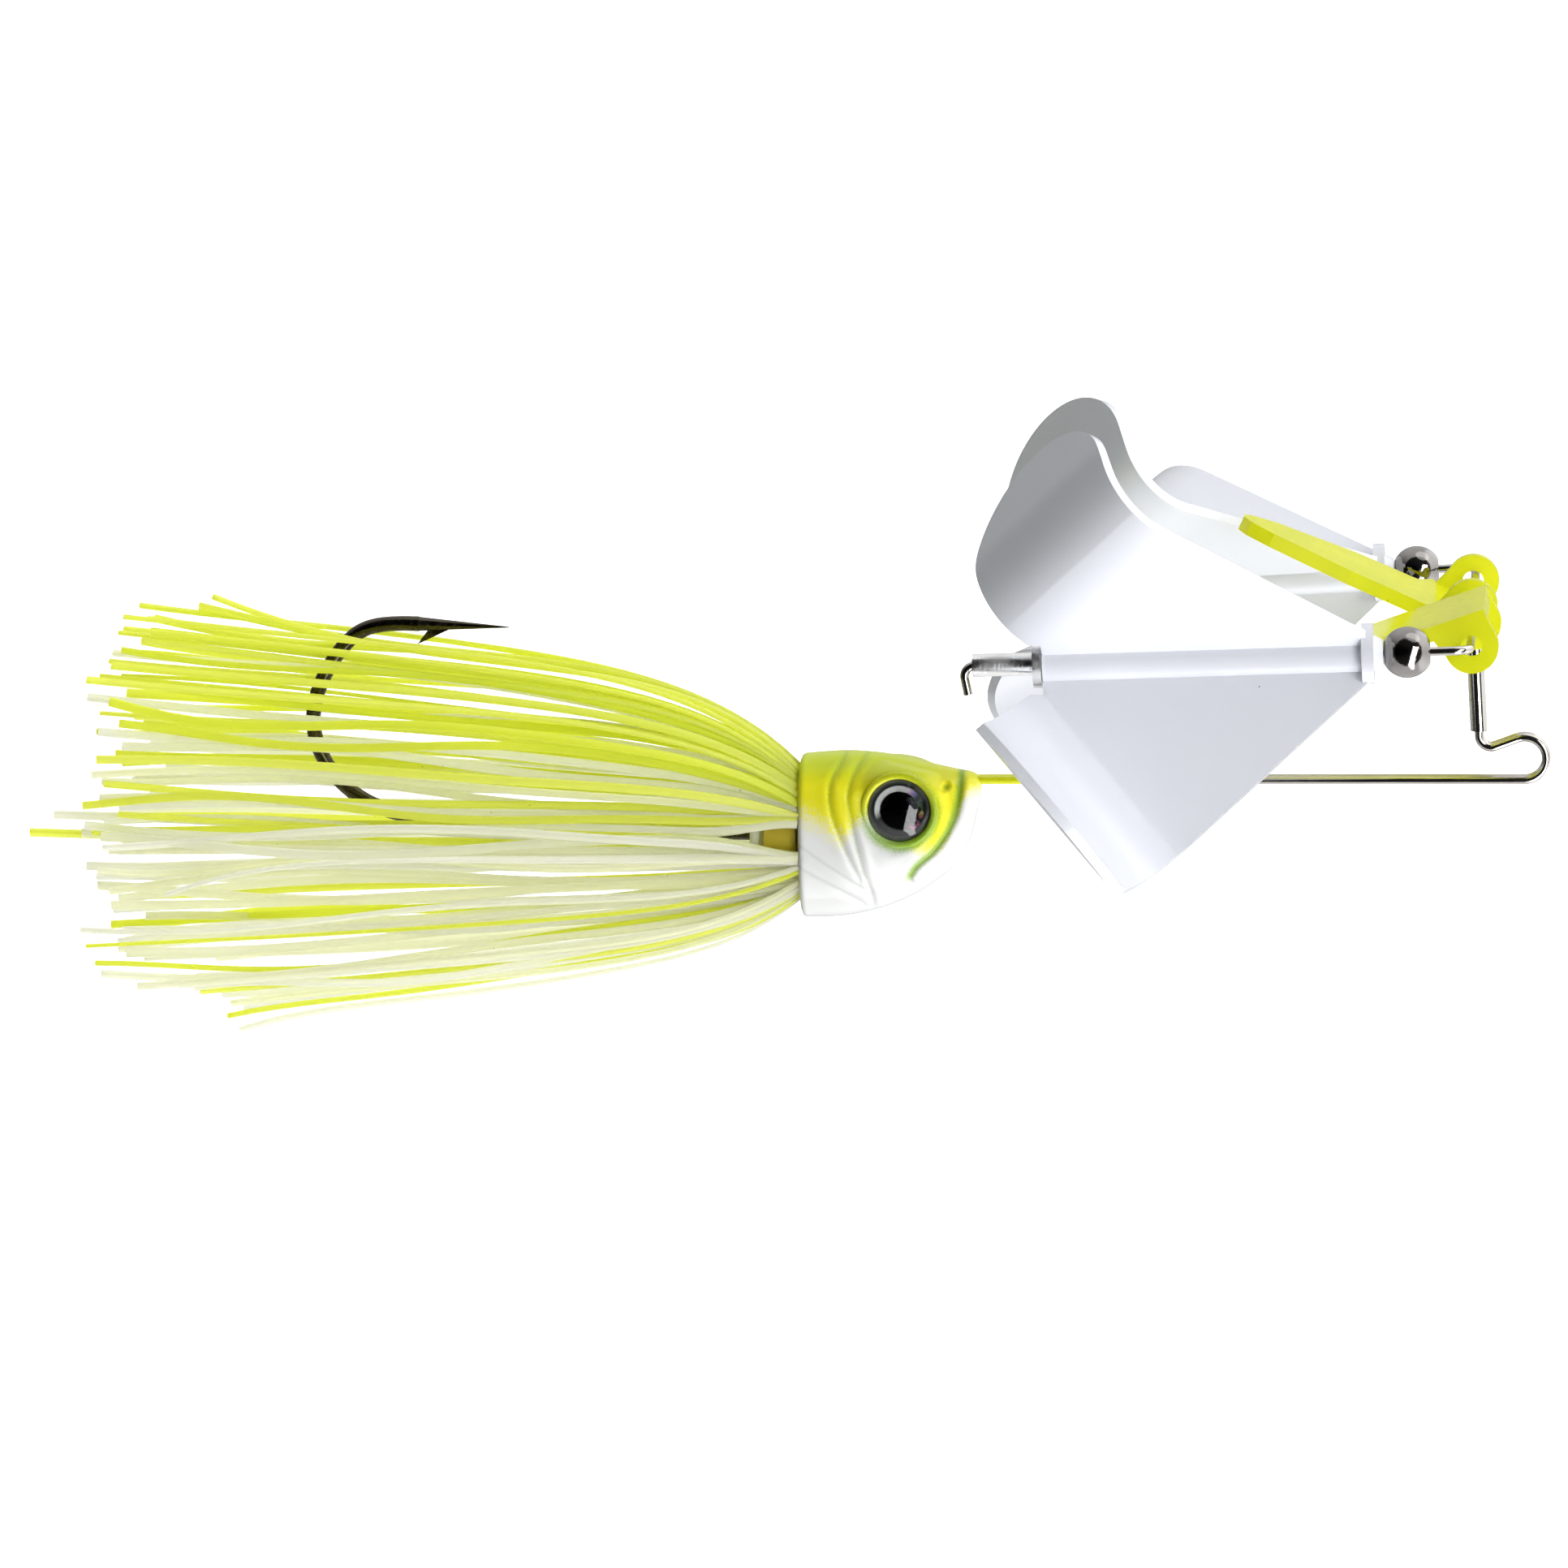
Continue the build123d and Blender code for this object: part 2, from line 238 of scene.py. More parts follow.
def add_values(thing, name, values):
    """Store one number per vertex under a name that a material can read."""
    layer = thing.data.attributes.new(name, "FLOAT", "POINT")
    layer.data.foreach_set("value", np.asarray(values, np.float32))


def smooth_curve(xs, ys, at):
    """Cubic curve through points, with slopes taken from their neighbours."""
    xs, ys, at = np.asarray(xs, float), np.asarray(ys, float), np.asarray(at, float)
    slope = np.gradient(ys, xs)
    i = np.clip(np.searchsorted(xs, at) - 1, 0, len(xs) - 2)
    step = xs[i + 1] - xs[i]
    t = (at - xs[i]) / step
    start = ys[i] * (2 * t**3 - 3 * t**2 + 1) + slope[i] * step * (t**3 - 2 * t**2 + t)
    end = ys[i + 1] * (3 * t**2 - 2 * t**3) + slope[i + 1] * step * (t**3 - t**2)
    return start + end


def smooth_step(start, end, value):
    """0 at start, 1 at end, with an easy slope between; start may be the larger."""
    t = np.clip((value - start) / (end - start), 0, 1)
    return t * t * (3 - 2 * t)


def bell(distance, width):
    """1 at no distance, fading to nothing over about two widths."""
    return np.exp(-((distance / width) ** 2))


def ring_faces(rings, around):
    """Quads between closed rings of the same number of points."""
    faces = []
    for ring in range(rings - 1):
        low, high = ring * around, (ring + 1) * around
        for a in range(around):
            b = (a + 1) % around
            faces.append((low + a, low + b, high + b, high + a))
    return faces


def lathe(name, profile, centre, axis, materials, around):
    """Surface of revolution; profile is (distance along axis, radius) in millimetres."""
    turn = Vector(axis).normalized().to_track_quat("Z", "Y").to_matrix()
    angles = np.linspace(0, 2 * math.pi, around, endpoint=False)
    points = []
    for distance, radius in profile:
        for angle in angles:
            local = Vector((radius * math.cos(angle), radius * math.sin(angle), distance))
            points.append(Vector(centre) + turn @ local)
    return mesh_object(name, points, ring_faces(len(profile), around), materials)


# ------------------------------------------------------------ material helpers

class Graph:
    """Short calls that add nodes to a node tree."""

    def __init__(self, tree):
        self.tree = tree

    def node(self, kind, **inputs):
        made = self.tree.nodes.new("ShaderNode" + kind)
        for socket, value in inputs.items():
            self.feed(made.inputs[socket.replace("_", " ")], value)
        return made

    def feed(self, socket, value):
        if isinstance(value, bpy.types.NodeSocket):
            self.tree.links.new(value, socket)
        elif isinstance(value, tuple) and len(value) == 3 and socket.type == "RGBA":
            socket.default_value = (*value, 1)
        else:
            socket.default_value = value

    def math(self, operation, a, b=0.0, c=0.0):
        made = self.tree.nodes.new("ShaderNodeMath")
        made.operation = operation
        for socket, value in zip(made.inputs, (a, b, c)):
            self.feed(socket, value)
        return made.outputs[0]

    def dot(self, vector, axis):
        """How far a vector points along an axis."""
        made = self.tree.nodes.new("ShaderNodeVectorMath")
        made.operation = "DOT_PRODUCT"
        self.feed(made.inputs[0], vector)
        made.inputs[1].default_value = Vector(axis).normalized()
        return made.outputs["Value"]

    def fit(self, value, low, high, to_low=0.0, to_high=1.0):
        """Ease from to_low to to_high while the value goes from low to high."""
        made = self.node("MapRange")
        made.interpolation_type = "SMOOTHSTEP"
        for socket, given in zip(made.inputs, (value, low, high, to_low, to_high)):
            self.feed(socket, given)
        return made.outputs[0]


class Look(Graph):
    """A node material that starts as one Principled shader."""

    def __init__(self, name, color, rough, **sockets):
        self.material = bpy.data.materials.new(name)
        self.material.use_nodes = True
        super().__init__(self.material.node_tree)
        self.shader = self.tree.nodes["Principled BSDF"]
        self.shader.inputs["Base Color"].default_value = (*color, 1)
        self.shader.inputs["Roughness"].default_value = rough
        for socket, value in sockets.items():
            self.shader.inputs[socket.replace("_", " ")].default_value = value

    def drive(self, socket, value):
        self.feed(self.shader.inputs[socket], value)

    def place(self):
        return self.node("TexCoord").outputs["Object"]

    def axis(self, name):
        return self.node("SeparateXYZ", Vector=self.place()).outputs[name]

    def noise(self, scale, detail=3.0, stretch=(1, 1, 1)):
        mapped = self.node("Mapping", Vector=self.place(), Scale=stretch).outputs[0]
        return self.node("TexNoise", Vector=mapped, Scale=scale, Detail=detail).outputs["Fac"]

    def mix(self, amount, first, second):
        made = self.tree.nodes.new("ShaderNodeMix")
        made.data_type = "RGBA"
        self.feed(made.inputs[0], amount)
        self.feed(made.inputs[6], first)
        self.feed(made.inputs[7], second)
        return made.outputs[2]

    def attribute(self, name):
        made = self.tree.nodes.new("ShaderNodeAttribute")
        made.attribute_name = name
        return made.outputs["Fac"]

    def bump(self, height, strength, distance):
        made = self.node("Bump", Height=height, Strength=strength, Distance=distance)
        self.drive("Normal", made.outputs[0])

    def specks(self, scale, size):
        """1 inside rare small dots, 0 elsewhere."""
        dots = self.node("TexVoronoi", Vector=self.place(), Scale=scale)
        return self.fit(dots.outputs["Distance"], size, size * 0.6)

    def blend(self, amount, first, second):
        """Show a mix of two shaders."""
        both = self.node("MixShader", Fac=amount)
        self.tree.links.new(first.outputs[0], both.inputs[1])
        self.tree.links.new(second.outputs[0], both.inputs[2])
        output = self.tree.nodes["Material Output"]
        self.tree.links.new(both.outputs[0], output.inputs["Surface"])

    def see_through(self, amount, color):
        """Mix in light that passes from behind."""
        self.blend(amount, self.shader, self.node("BsdfTranslucent", Color=color))


# -------------------------------------------------------------------- materials

def steel_wire():
    """Bright drawn wire, painted chartreuse for a few millimetres in front of the head."""
    look = Look("wire_steel", (0.60, 0.58, 0.54), 0.16, Metallic=1.0)
    streak = look.noise(900, 4, (0.12, 1, 1))
    ragged = look.math("MULTIPLY_ADD", look.noise(2500), 0.0006, look.axis("X"))
    low_enough = look.fit(look.axis("Z"), *WIRE_PAINT_Z)
    painted = look.math("MULTIPLY", look.fit(ragged, *WIRE_PAINT_X), low_enough)
    bare = look.mix(streak, (0.58, 0.56, 0.52), (0.36, 0.34, 0.31))
    paint = look.mix(look.noise(1800), CHARTREUSE, YELLOW)
    look.drive("Base Color", look.mix(painted, bare, paint))
    look.drive("Metallic", look.fit(painted, 0.0, 1.0, 1.0, 0.0))
    look.drive("Roughness", look.fit(streak, 0.3, 0.7, 0.10, 0.24))
    look.bump(streak, 0.25, 0.00004)
    return look.material


def mirror_metal(name, color, rough, pits):
    """Plated metal with fine pits and faint wear."""
    look = Look(name, color, rough, Metallic=1.0)
    wear = look.noise(700, 5)
    look.drive("Base Color", look.mix(wear, color, tuple(c * 0.82 for c in color)))
    look.drive("Roughness", look.fit(wear, 0.35, 0.75, rough, rough + 0.10))
    look.bump(look.noise(5200, 2), pits, 0.00003)
    return look.material


def bare_aluminium():
    """Soft tube with turning marks and dull handling patches."""
    look = Look("rivet_aluminium", (0.70, 0.70, 0.69), 0.28, Metallic=1.0)
    marks = look.noise(2600, 3, (1, 0.2, 0.2))
    dull = look.noise(420, 4)
    look.drive("Base Color", look.mix(dull, (0.82, 0.82, 0.81), (0.60, 0.60, 0.59)))
    look.drive("Roughness", look.fit(dull, 0.35, 0.7, 0.24, 0.46))
    look.bump(marks, 0.5, 0.00006)
    return look.material


def black_nickel():
    """Dark hook plating with browner patches."""
    look = Look("hook_finish", (0.05, 0.045, 0.035), 0.2, Metallic=1.0)
    patch = look.noise(260, 4)
    look.drive("Base Color", look.mix(patch, (0.10, 0.085, 0.055), (0.035, 0.033, 0.03)))
    look.drive("Roughness", look.fit(look.noise(1500, 4), 0.3, 0.7, 0.14, 0.3))
    look.bump(look.noise(3000), 0.15, 0.00003)
    return look.material


def blade_plastic():
    """Glossy white moulding with flow shading, faint grain and a few specks."""
    look = Look("blade_plastic", (0.84, 0.86, 0.92), 0.22, Coat_Weight=0.35, Coat_Roughness=0.08)
    flow = look.noise(90, 3, (1, 0.5, 1))
    white = look.mix(flow, (0.86, 0.875, 0.93), (0.81, 0.83, 0.89))
    look.drive("Base Color", look.mix(look.specks(170, 0.018), white, (0.10, 0.09, 0.09)))
    look.drive("Roughness", look.fit(look.noise(300, 2), 0.3, 0.7, 0.22, 0.27))
    look.bump(look.noise(500, 2), 0.03, 0.00003)
    look.see_through(0.20, (0.93, 0.94, 0.92))
    return look.material


def clacker_plastic():
    """Translucent chartreuse moulding with yellower clouds and a few specks."""
    look = Look("clacker_plastic", CHARTREUSE, 0.14, IOR=1.49, Coat_Weight=0.1)
    cloud = look.noise(160, 3)
    body = look.mix(cloud, (0.70, 0.80, 0.020), (0.96, 0.92, 0.05))
    look.drive("Base Color", look.mix(look.specks(260, 0.03), body, (0.20, 0.22, 0.02)))
    look.drive("Roughness", look.fit(look.noise(1200), 0.3, 0.7, 0.10, 0.20))
    look.bump(look.noise(700, 3), 0.18, 0.0001)
    look.see_through(0.45, (0.90, 0.90, 0.018))
    return look.material


def amber_rubber():
    """Dull amber rubber with a grainy skin."""
    look = Look("band_rubber", (0.48, 0.36, 0.02), 0.4)
    look.drive("Base Color", look.mix(look.noise(500), (0.72, 0.60, 0.05), (0.58, 0.42, 0.03)))
    look.bump(look.noise(1600, 4), 0.4, 0.0001)
    look.see_through(0.2, (0.8, 0.6, 0.05))
    return look.material


def head_paint():
    """Chartreuse back sprayed over pearl white, green airbrush, flakes, thin clear coat; painted
    grey shade on the belly ridge and plate lines, and a painted darker top.
    """
    look = Look("head_paint", PEARL, 0.3, Coat_Weight=0.14, Coat_Roughness=0.06)
    look.drive("Specular IOR Level", 0.22)
    spray = look.math("SUBTRACT", look.noise(5200, 2), 0.5)
    back = look.fit(look.math("MULTIPLY_ADD", spray, 0.9, look.attribute("back")), 0.12, 0.86)
    back = look.math("POWER", back, 1.6)
    cuts = look.fit(look.math("MULTIPLY_ADD", spray, 0.5, look.attribute("cuts")), 0.05, 1.0)
    # painted shade: yellow turns to darker chartreuse towards the top of the head
    yellow = look.mix(look.attribute("painted_top_shade"), YELLOW, CHARTREUSE)
    base = look.mix(back, PEARL, yellow)
    base = look.mix(cuts, base, LEAF_GREEN)
    # painted shade: grey on the belly ridge, in the plate lines and on the keeper
    base = look.mix(look.attribute("painted_shade"), base, PAINTED_SHADE_GREY)
    flakes = look.specks(3600, 0.16)
    look.drive("Base Color", look.mix(look.math("MULTIPLY", flakes, 0.35), base, (1.0, 1.0, 0.85)))
    look.drive("Roughness", look.fit(flakes, 0, 1, 0.32, 0.12))
    look.bump(look.noise(2600, 3), 0.12, 0.00008)
    return look.material


def foil_iris():
    """Silver foil ring inside a black surround, with a faint play of colour; a painted highlight
    lights the foil towards its upper back.
    """
    look = Look("eye_foil", (0.7, 0.7, 0.7), 0.18, Metallic=0.8)
    x = look.math("MULTIPLY", look.math("ADD", look.axis("X"), -EYE[0] * MM), 1 / MM)
    z = look.math("MULTIPLY", look.math("ADD", look.axis("Z"), -EYE[1] * MM), 1 / MM)
    squares = look.math("ADD", look.math("MULTIPLY", x, x), look.math("MULTIPLY", z, z))
    radius = look.math("SQRT", squares)
    surround = look.fit(radius, 2.40, 2.62)
    # painted highlight: the foil is bright towards the upper back, dark towards the lower front
    lean = look.math("MULTIPLY_ADD", z, 1.7, look.math("MULTIPLY", x, -1.0))
    foil_painted_glint = look.mix(look.fit(lean, 0.3, 2.6), (0.03, 0.03, 0.035), (0.97, 0.97, 0.96))
    angle = look.math("MULTIPLY_ADD", look.math("ARCTAN2", z, x), 0.6, 0.2)
    play = look.node("CombineColor", Red=angle, Green=0.75, Blue=0.9)
    play.mode = "HSV"
    patches = look.fit(look.noise(1500, 2), 0.45, 0.6, 0.0, 0.6)
    tinted = look.math("MULTIPLY", patches, look.fit(x, 0.4, 1.3))
    foil_painted_glint = look.mix(tinted, foil_painted_glint, play.outputs[0])
    ring = look.mix(look.fit(radius, 2.6, 3.2), (0.02, 0.02, 0.022), (0.16, 0.17, 0.15))
    look.drive("Base Color", look.mix(surround, foil_painted_glint, ring))
    look.drive("Metallic", look.fit(surround, 0, 1, 0.12, 0.0))
    look.bump(look.noise(2400, 2), 0.2, 0.00005)
    return look.material


def gloss_black():
    """Glossy black pupil."""
    look = Look("eye_black", (0.006, 0.006, 0.007), 0.12, Coat_Weight=1.0)
    look.drive("Roughness", look.fit(look.noise(2000), 0.3, 0.7, 0.08, 0.16))
    look.drive("Base Color", look.mix(look.noise(900), (0.004, 0.004, 0.004), (0.012, 0.012, 0.014)))
    return look.material


def clear_dome():
    """Resin dome: clear head on, mirror-like at its rim."""
    look = Look("eye_clear", (0.9, 0.9, 0.9), 0.03)
    gloss = look.node("BsdfAnisotropic", Color=(1.0, 1.0, 1.0), Roughness=0.03)
    clear = look.node("BsdfTransparent", Color=(0.97, 0.98, 0.97))
    ripple = look.node("Bump", Height=look.noise(300, 2), Strength=0.05, Distance=0.0002)
    look.tree.links.new(ripple.outputs[0], gloss.inputs["Normal"])
    facing = look.node("LayerWeight", Blend=0.5, Normal=ripple.outputs[0]).outputs["Facing"]
    rim = look.math("MULTIPLY_ADD", look.math("POWER", facing, 5.0), 0.95, 0.045)
    look.tree.nodes.remove(look.shader)
    look.blend(rim, clear, gloss)
    return look.material


def silicone(name, pale, deep, glow):
    """Skirt strand: satin silicone that lets light through, each strand its own tone."""
    look = Look(name, pale, 0.34, Coat_Weight=0.15)
    tone = look.math("MULTIPLY_ADD", look.noise(120, 2), 0.35, look.attribute("tone"))
    color = look.mix(look.fit(tone, 0.0, 1.2), pale, deep)
    look.drive("Base Color", look.mix(look.specks(330, 0.035), color, (0.05, 0.05, 0.04)))
    look.drive("Roughness", look.fit(look.noise(2400, 3), 0.3, 0.7, 0.28, 0.45))
    look.bump(look.noise(3600, 3), 0.25, 0.00005)
    look.see_through(0.60, glow)
    return look.material


# ------------------------------------------------------------------------- head

def section_values(x):
    """Top z, bottom z and half width of the head at each x."""
    table = np.array(HEAD_SECTIONS)[::-1]
    return [smooth_curve(table[:, 0], table[:, column], x) for column in (1, 2, 3)]


def curve_points(points, count=48):
    """Evenly spaced places on a smooth curve through points."""
    points = np.array(points, float)
    along = np.r_[0, np.cumsum(np.linalg.norm(np.diff(points, axis=0), axis=1))]
    at = np.linspace(0, along[-1], count)
    return np.stack([smooth_curve(along, points[:, column], at) for column in (0, 1)], 1)


def near_curve(x, z, points):
    """Distance to a curve in side view, its signed side, and the place along it from 0 to 1."""
    line = curve_points(points)
    best = np.full(x.shape, 1e9)
    side = np.zeros(x.shape)
    place = np.zeros(x.shape)
    for i, (a, b) in enumerate(zip(line, line[1:])):
        step = b - a
        t = np.clip(((x - a[0]) * step[0] + (z - a[1]) * step[1]) / (step @ step), 0, 1)
        dx, dz = x - a[0] - t * step[0], z - a[1] - t * step[1]
        d = np.hypot(dx, dz)
        closer = d < best
        best = np.where(closer, d, best)
        side = np.where(closer, np.sign(step[0] * dz - step[1] * dx), side)
        place = np.where(closer, (i + t) / (len(line) - 1), place)
    return best, side, place


def cut_depth(x, z):
    """How far the carved lines and the nostril sink the head's side, in millimetres."""
    depth = np.zeros(x.shape)
    for points, deep, wide, lip in CARVED:
        d, side, place = near_curve(x, z, points)
        ends = smooth_step(0, 0.05, place) * smooth_step(1, 0.93, place)
        raised = np.where(side > 0, lip, 0.25 * lip) * bell(d - 0.75, 0.42)
        depth += (deep * bell(d, wide) - raised) * ends
    d = np.hypot(x - NOSTRIL[0], z - NOSTRIL[1])
    depth += 0.35 * bell(d, 0.30) - 0.10 * bell(d - 0.62, 0.2)
    return depth


def airbrush_values(x, z):
    """Green along the cuts, in the nostril, and round the eye, most below and before it."""
    green = np.zeros(x.shape)
    for points, strength, wide, fade in AIRBRUSHED:
        d, _, place = near_curve(x, z, points)
        here = strength * (1 - fade * smooth_step(0.35, 0.95, place))
        here = here * smooth_step(1.0, 0.86, place)
        green = np.maximum(green, here * bell(d, wide))
    r = np.hypot(x - EYE[0], z - EYE[1])
    low_front = 0.5 + 0.5 * ((x - EYE[0]) * 0.5 - (z - EYE[1]) * 0.85) / np.maximum(r, 0.1)
    shade = bell(np.maximum(r - EYE_R - 0.5, 0), 0.75)
    green = np.maximum(green, (0.30 + 0.62 * low_front) * shade)
    d = np.hypot(x - NOSTRIL[0], z - NOSTRIL[1])
    return np.maximum(green, 0.7 * bell(d, 0.35))


def painted_shade_values(x, y, z, above_edge):
    """Painted shade: grey on the white belly ridge and in the plate lines."""
    half = np.maximum(section_values(np.clip(x, BACK_X, NOSE_X))[2], 0.8)
    painted_shade = 0.8 * bell(y / half, 0.34) * smooth_step(0.5, -1.5, above_edge)
    for points in (PLATE_UPPER, PLATE_LOWER):
        d, _, _ = near_curve(x, z, points)
        painted_shade = np.maximum(painted_shade, 0.35 * bell(d, 0.16))
    return painted_shade


def add_paint(thing, x, y, z):
    """Store the chartreuse back, green airbrush, painted grey shade and painted darker top per
    vertex.
    """
    above_edge = z - smooth_curve(*zip(*PAINT_EDGE), x)
    soft = 1 + 0.9 * smooth_step(-67, -71, x)
    add_values(thing, "back", smooth_step(-2.4 * soft, 1.9 * soft, above_edge))
    add_values(thing, "cuts", airbrush_values(x, z))
    # painted grey shade on the belly ridge and in the plate lines
    add_values(thing, "painted_shade", painted_shade_values(x, y, z, above_edge))
    # painted shade: darker chartreuse towards the top of the head
    add_values(thing, "painted_top_shade", smooth_step(-2.6, 0.4, z))


def head_rings(share, around):
    """x, y, z of the uncarved head ring by ring, with each ring's middle z and half width."""
    x = NOSE_X + share * (BACK_X - NOSE_X)
    top, bottom, half = section_values(x)
    rear = np.clip(1 - (x - BACK_X) / BACK_ROUND, 0, 1)
    inset = BACK_ROUND * (1 - np.sqrt(1 - rear**2))
    top, bottom, half = top - inset, bottom + inset, half - inset
    angle = np.linspace(0, 2 * math.pi, around, endpoint=False)
    power = 2 / SECTION_POWER
    side = np.sign(np.cos(angle)) * np.abs(np.cos(angle)) ** power
    rise = np.sign(np.sin(angle)) * np.abs(np.sin(angle)) ** power
    middle, tall = (top + bottom) / 2, (top - bottom) / 2
    y = half[:, None] * side[None, :]
    z = middle[:, None] + tall[:, None] * rise[None, :]
    return np.repeat(x[:, None], around, 1), y, z, middle[:, None], half[:, None]


def carve(x, y, z, middle, half, share):
    """Sink the carved lines; they fade out at the nose and towards the two ridges."""
    depth = cut_depth(x, z) * smooth_step(0.0, 0.05, share)[:, None]
    depth = depth * smooth_step(0.10, 0.55, np.abs(y) / half)
    reach = np.maximum(np.hypot(y, z - middle), 0.3)
    shrink = 1 - np.clip(depth / reach, -0.1, 0.4)
    return y * shrink, middle + (z - middle) * shrink


def sink_sockets(y, r):
    """Swell both sides round the eye and sink its socket; r is the distance from the eye."""
    flank = np.abs(y) > 2
    socket = smooth_step(EYE_R + 0.5, EYE_R + 0.15, r) * flank
    swell = smooth_step(EYE_R + 2.1, EYE_R + 0.5, r) * (1 - socket) * flank
    y = y + np.sign(y) * swell * np.maximum(EYE_FACE - 0.25 - np.abs(y), -0.2)
    sunk = np.abs(y) * (1 - socket) + (EYE_FACE - SOCKET_DEPTH) * socket
    return np.where(socket > 0, np.sign(y) * sunk, y)


def build_head(paint):
    """Carved fish head with its eye sockets, closed at nose and back."""
    rings, around = 170, 420
    share = np.linspace(0, 1, rings) ** 1.5
    x, y, z, middle, half = head_rings(share, around)
    r = np.hypot(x - EYE[0], z - EYE[1])
    y, z = carve(x, y, z, middle, half, share)
    y = sink_sockets(y, r)
    ends = [[NOSE_X + NOSE_TIP, 0, middle[0, 0]], [BACK_X, 0, middle[-1, 0]]]
    points = np.vstack([np.stack([x, y, z], 2).reshape(-1, 3), ends])
    faces = ring_faces(rings, around)
    nose, last = rings * around, (rings - 1) * around
    for a in range(around):
        b = (a + 1) % around
        faces.append((nose, b, a))
        faces.append((nose + 1, last + a, last + b))
    head = mesh_object("head_casting", points, faces, [paint])
    add_paint(head, *points.T)
    head.data.set_sharp_from_angle(angle=math.radians(50))
    return head


def build_keeper(paint):
    """Barrel behind the head that the skirt is tied on, with its end bead."""
    start, end, radius = KEEPER
    length = start - end
    profile = [
        (0, 0),
        (0, radius),
        (length - 0.9, radius),
        (length - 0.5, radius + 0.25),
        (length - 0.15, radius + 0.05),
        (length, radius - 0.3),
        (length, 0),
    ]
    keeper = lathe("skirt_keeper", profile, (start, 0, SHANK_Z), (-1, 0, 0), [paint], 64)
    count = len(keeper.data.vertices)
    # the keeper gets a little painted grey shade all over and no painted darker top
    for name, value in (("back", 0.0), ("cuts", 0.0), ("painted_shade", 0.1), ("painted_top_shade", 0.0)):
        add_values(keeper, name, np.full(count, value))
    return keeper


def build_eye_rim(name, side, paint):
    """Raised painted ring round the eye."""
    inner, outer, face, rise = EYE_R + 0.03, EYE_R + 0.75, EYE_FACE + 0.12, 0.25
    profile = [(face - 1.0, inner)]
    for angle in np.linspace(0, math.pi, 12):
        radius = (inner + outer) / 2 - (outer - inner) / 2 * math.cos(angle)
        profile.append((face - rise + rise * math.sin(angle), radius))
    profile.append((face - 1.3, outer + 0.05))
    rim = lathe(name, profile, (EYE[0], 0, EYE[1]), (0, side, 0), [paint], 128)
    co = np.array([v.co for v in rim.data.vertices]) / MM
    add_paint(rim, *co.T)
    return rim


def build_head_pieces():
    """Head, keeper and eye rims, all in the head's paint."""
    paint = head_paint()
    head = build_head(paint)
    pieces = [head, build_keeper(paint)]
    for name, side in SIDES.items():
        pieces.append(build_eye_rim("eye_rim_" + name, side, paint))
    for piece in pieces:
        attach(piece, "lure")
    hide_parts("head")


# ------------------------------------------------------------------------ skirt

def flare(share):
    """How far a strand has spread from its root ring at a share of its length."""
    quick, decay = 0.55, 0.14
    spread = quick * (1 - np.exp(-share / decay)) + (1 - quick) * share
    return spread / (1 - quick * math.exp(-1 / decay))


def sway(share, rng):
    """Slow random wave that is zero at both ends."""
    phase, cycles = rng.uniform(0, 2 * math.pi), rng.uniform(0.5, 1.5)
    wave = np.sin(phase + 2 * math.pi * cycles * share) - math.sin(phase)
    return wave - share * wave[-1]


def strand_line(tip, kick, side, rng):
    """Centre line from the root ring to a tip (x, y, z) that turns up by kick at its end."""
    tip_x, tip_y, tip_z = tip
    level, reach = (tip_z - TIP_CENTRE_Z) / TIP_HALF[1], tip_y / TIP_HALF[0]
    lean = math.atan2(level, reach)
    spread = min(1.0, math.hypot(level, reach))
    ring = 0.84 + 0.16 * spread
    root_y = ROOT_HALF[0] * ring * math.cos(lean)
    root_z = SKIRT_ROOT[1] + ROOT_HALF[1] * ring * math.sin(lean)
    gap = BAND_GAP * math.copysign(bell(root_z - BAND_Z, 1.4), root_z - BAND_Z)
    share = np.linspace(0, 1, STRAND_STEPS) ** 1.25
    out = flare(share) * spread + share * (1 - spread)
    x = SKIRT_ROOT[0] + share * (tip_x - SKIRT_ROOT[0])
    y = root_y + (tip_y - root_y) * out
    z = root_z + (tip_z - kick - root_z) * out + kick * share**5 + gap * bell(share, 0.08)
    for _ in range(2):
        swing = sway(share, rng) * (1 - 0.7 * level**2)
        z = z + rng.normal(0, 0.85) * swing * share
        y = y + rng.normal(0, 0.60) * swing * share
    y = np.maximum(y, HOOK_CLEAR)
    return np.stack([x, side * y, z], 1)


def strand_mesh(line, rng):
    """Flat strip with cut corners along a line, cut square at both ends."""
    tangent = np.gradient(line, axis=0)
    tangent /= np.linalg.norm(tangent, axis=1)[:, None]
    outward = line - np.array([0, 0, SKIRT_ROOT[1] + 1.5])
    outward[:, 0] = 0
    wide = np.cross(tangent, outward)
    wide /= np.linalg.norm(wide, axis=1)[:, None]
    thick = np.cross(wide, tangent)
    twist = rng.normal(0, 0.35) + rng.normal(0, 0.55) * np.linspace(0, 1, len(line))
    turned_wide = wide * np.cos(twist)[:, None] + thick * np.sin(twist)[:, None]
    turned_thick = thick * np.cos(twist)[:, None] - wide * np.sin(twist)[:, None]
    w = STRAND_W * rng.uniform(0.86, 1.12) / 2
    t = STRAND_T * rng.uniform(0.85, 1.15) / 2
    c = STRAND_CORNER
    outline = [(w, t - c), (w - c, t), (c - w, t), (-w, t - c)]
    outline += [(-w, c - t), (c - w, -t), (w - c, -t), (w, c - t)]
    points = [line + turned_wide * a + turned_thick * b for a, b in outline]
    points = np.stack(points, 1).reshape(-1, 3)
    around = len(outline)
    faces = ring_faces(len(line), around)
    faces.append(tuple(range(around)))
    faces.append(tuple(range(len(points) - 1, len(points) - 1 - around, -1)))
    return points, faces


